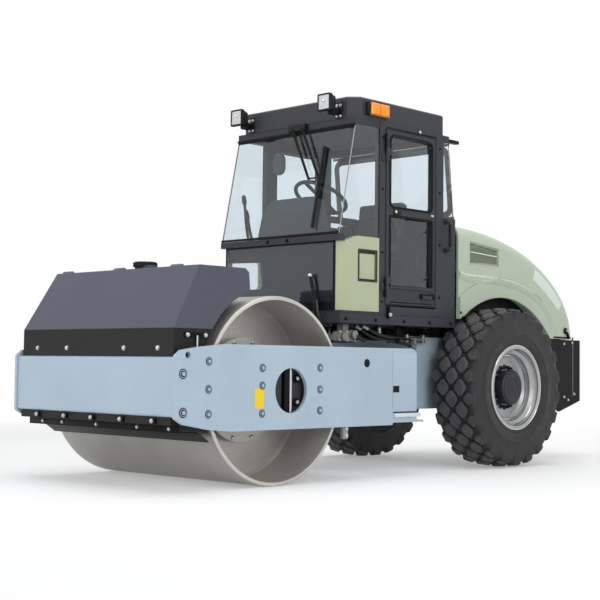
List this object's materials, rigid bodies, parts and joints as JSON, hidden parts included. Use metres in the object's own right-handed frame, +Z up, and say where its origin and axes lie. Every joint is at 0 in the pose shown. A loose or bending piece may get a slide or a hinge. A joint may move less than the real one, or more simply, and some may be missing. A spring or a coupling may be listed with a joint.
{
  "type": "road roller",
  "caption": "Articulated soil compactor with one smooth drum in a frame ahead, a glazed cab, an oval engine hood and rubber-tyred drive wheels behind.",
  "frame": {"origin": "on the ground, halfway along the machine, on its centreline", "axes": "+X forward to the drum, +Y to the machine's left, +Z up"},
  "size_m": [4.744, 1.802, 2.7105],
  "materials": {
    "drum_steel": "satin",
    "frame_paint": "satin",
    "dark_paint": "satin",
    "hood_paint": "gloss",
    "tank_paint": "satin",
    "black_steel": "satin",
    "rubber": "matt",
    "tyre": "matt",
    "rim_paint": "satin",
    "glass": "clear",
    "cast": "rough",
    "seat_cloth": "matt",
    "plastic": "matt",
    "lamp": "gloss",
    "amber": "gloss",
    "rod_chrome": "polished"
  },
  "bodies": {
    "rear_half": {"rear_frame": "frame_paint", "rear_axle": "cast", "engine": "cast", "bumper": "hood_paint", "cab_floor": "dark_paint", "cab_frame": "dark_paint", "cab_roof": "dark_paint", "windscreen": "glass", "cab_glass": "glass", "corner_panels": "hood_paint", "work_lamps": "lamp", "indicators": "amber", "wipers": "plastic", "seat_base": "plastic", "seat_pads": "seat_cloth", "console": "plastic", "steering_wheel": "plastic"},
    "knuckle": {"knuckle": "frame_paint"},
    "front_half": {"side_plate_left": "frame_paint", "side_plate_right": "frame_paint", "front_beam": "frame_paint", "rear_crossmember": "frame_paint", "drum_carriers": "frame_paint", "scraper_front": "black_steel", "scraper_rear": "black_steel", "tank_cover": "tank_paint", "tank_base": "black_steel", "front_steps": "frame_paint"},
    "drum_roll": {"drum": "drum_steel", "drum_buffers": "rubber", "drum_flanges": "frame_paint"},
    "wheel_left": {"tyre_left": "tyre", "rim_left": "rim_paint", "hub_left": "black_steel"},
    "wheel_right": {"tyre_right": "tyre", "rim_right": "rim_paint", "hub_right": "black_steel"},
    "cab_door": {"door": "dark_paint", "door_glass": "glass"},
    "engine_hood": {"hood": "hood_paint", "hood_grilles": "plastic"},
    "barrel_left": {"steering_barrel_left": "black_steel"},
    "barrel_right": {"steering_barrel_right": "black_steel"},
    "rod_left": {"steering_rod_left": "rod_chrome"},
    "rod_right": {"steering_rod_right": "rod_chrome"}
  },
  "joints": [
    {"name": "steering", "type": "hinge", "parent": "rear_half", "child": "knuckle", "pos_m": [-0.062, 0, 0.65], "axis": [0, 0, 1], "range_deg": [-30, 30]},
    {"name": "oscillation", "type": "hinge", "parent": "knuckle", "child": "front_half", "pos_m": [-0.062, 0, 0.65], "axis": [1, 0, 0], "range_deg": [-8, 8]},
    {"name": "drum_spin", "type": "hinge", "parent": "front_half", "child": "drum_roll", "pos_m": [1.488, 0, 0.61], "axis": [0, 1, 0], "continuous": true},
    {"name": "wheel_left_spin", "type": "hinge", "parent": "rear_half", "child": "wheel_left", "pos_m": [-1.062, 0.712, 0.62], "axis": [0, 1, 0], "continuous": true},
    {"name": "wheel_right_spin", "type": "hinge", "parent": "rear_half", "child": "wheel_right", "pos_m": [-1.062, -0.712, 0.62], "axis": [0, 1, 0], "continuous": true},
    {"name": "door_hinge", "type": "hinge", "parent": "rear_half", "child": "cab_door", "pos_m": [0.198, 0.624, 1.9], "axis": [0, 0, -1], "range_deg": [0, 80]},
    {"name": "hood_hinge", "type": "hinge", "parent": "rear_half", "child": "engine_hood", "pos_m": [-2.357, 0, 1.034], "axis": [0, -1, 0], "range_deg": [0, 45]},
    {"name": "cylinder_left_swing", "type": "hinge", "parent": "rear_half", "child": "barrel_left", "pos_m": [-0.532, 0.158, 0.63], "axis": [0, 0, 1], "range_deg": [-4.17, 4.17]},
    {"name": "cylinder_left_slide", "type": "slide", "parent": "barrel_left", "child": "rod_left", "axis": [0.9987, 0.0504, 0], "range_m": [-0.0953, 0.0953]},
    {"name": "cylinder_right_swing", "type": "hinge", "parent": "rear_half", "child": "barrel_right", "pos_m": [-0.532, -0.158, 0.63], "axis": [0, 0, 1], "range_deg": [-4.17, 4.17]},
    {"name": "cylinder_right_slide", "type": "slide", "parent": "barrel_right", "child": "rod_right", "axis": [0.9987, -0.0504, 0], "range_m": [-0.0953, 0.0953]}
  ],
  "couplings": [
    {"joint": "cylinder_left_swing", "follows": "steering", "ratio": 0.129},
    {"joint": "cylinder_left_slide", "follows": "steering", "m_per_rad": -0.1781},
    {"joint": "cylinder_right_swing", "follows": "steering", "ratio": 0.129},
    {"joint": "cylinder_right_slide", "follows": "steering", "m_per_rad": 0.1781}
  ]
}
